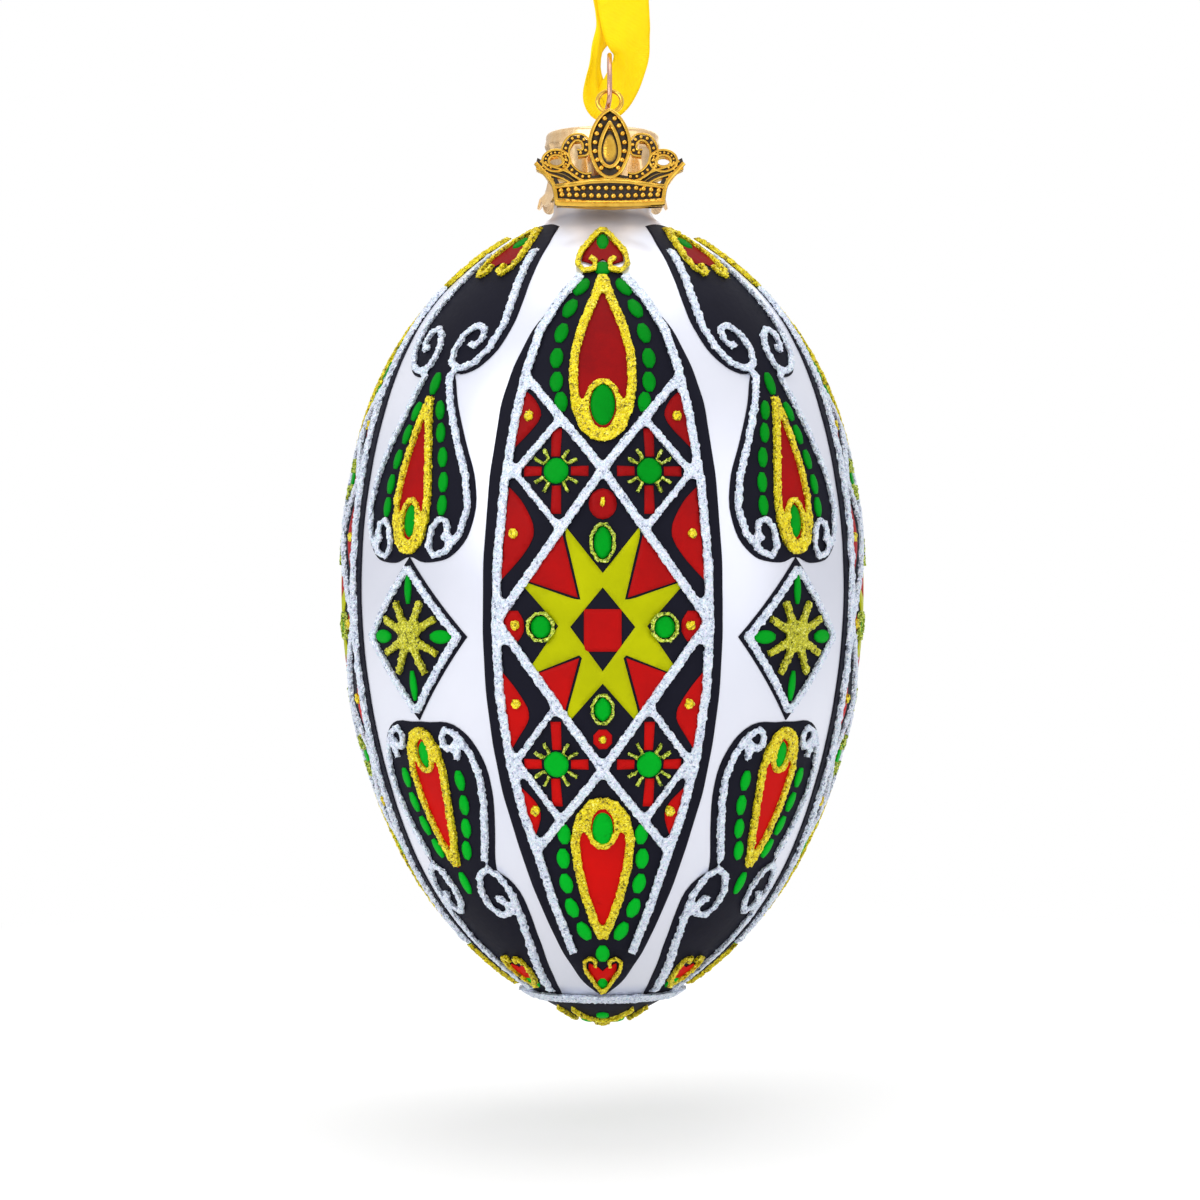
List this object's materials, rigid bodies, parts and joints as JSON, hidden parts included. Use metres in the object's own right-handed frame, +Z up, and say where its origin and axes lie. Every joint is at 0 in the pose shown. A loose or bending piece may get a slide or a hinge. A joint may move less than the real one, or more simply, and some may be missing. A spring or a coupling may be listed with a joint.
{
  "type": "decorated glass egg ornament",
  "caption": "Hand-painted glass egg ornament with raised glitter lines, stamped cap, wire loop, crown charm and a satin hanging ribbon.",
  "frame": {"origin": "the eye of the ribbon, just under its knot, where a hook or twig goes through", "axes": "+Z up along the egg's axis, -Y towards the front, where the crown charm hangs; X to the side"},
  "size_m": [0.061, 0.061, 0.1468],
  "materials": {
    "pearl_glass": "frosted pearl white, silvered inside",
    "rose_gold": "thin stamped sheet, rose gold",
    "rose_wire": "drawn wire, rose gold",
    "antique_gold": "cast, antique gold with dark recesses",
    "yellow_satin": "satin ribbon",
    "black_enamel": "brushed enamel paint, satin",
    "red_enamel": "brushed enamel paint",
    "green_enamel": "brushed enamel paint",
    "lime_enamel": "brushed enamel paint",
    "white_glitter": "raised iridescent glitter glue",
    "gold_glitter": "raised gold glitter glue"
  },
  "bodies": {
    "ribbon_body": {"ribbon": "yellow_satin", "ribbon_knot": "yellow_satin"},
    "hanger": {"cap": "rose_gold", "hanger_wire": "rose_wire"},
    "charm": {"crown_charm": "antique_gold"},
    "egg": {"glass_egg": "pearl_glass", "panel_ground": "black_enamel", "panel_red": "red_enamel", "panel_star": "lime_enamel", "panel_green": "green_enamel", "panel_white_lines": "white_glitter", "panel_gold_lines": "gold_glitter", "scroll_ground": "black_enamel", "scroll_red": "red_enamel", "scroll_green": "green_enamel", "scroll_white_lines": "white_glitter", "scroll_gold_lines": "gold_glitter", "tip_ground": "black_enamel", "tip_green": "green_enamel", "tip_ring": "white_glitter", "tip_gold_lines": "gold_glitter"}
  },
  "joints": [
    {"name": "egg_swing", "type": "hinge", "parent": "ribbon_body", "child": "hanger", "pos_m": [0, 0, -0.0191], "axis": [0, 1, 0], "range_deg": [-30, 30]},
    {"name": "charm_lift", "type": "hinge", "parent": "hanger", "child": "charm", "pos_m": [0.0008, -0.00595, -0.02525], "axis": [-1, 0, 0], "range_deg": [0, 50]},
    {"name": "egg_pull", "type": "slide", "parent": "hanger", "child": "egg", "axis": [0, 0, -1], "range_m": [0, 0.016]}
  ]
}
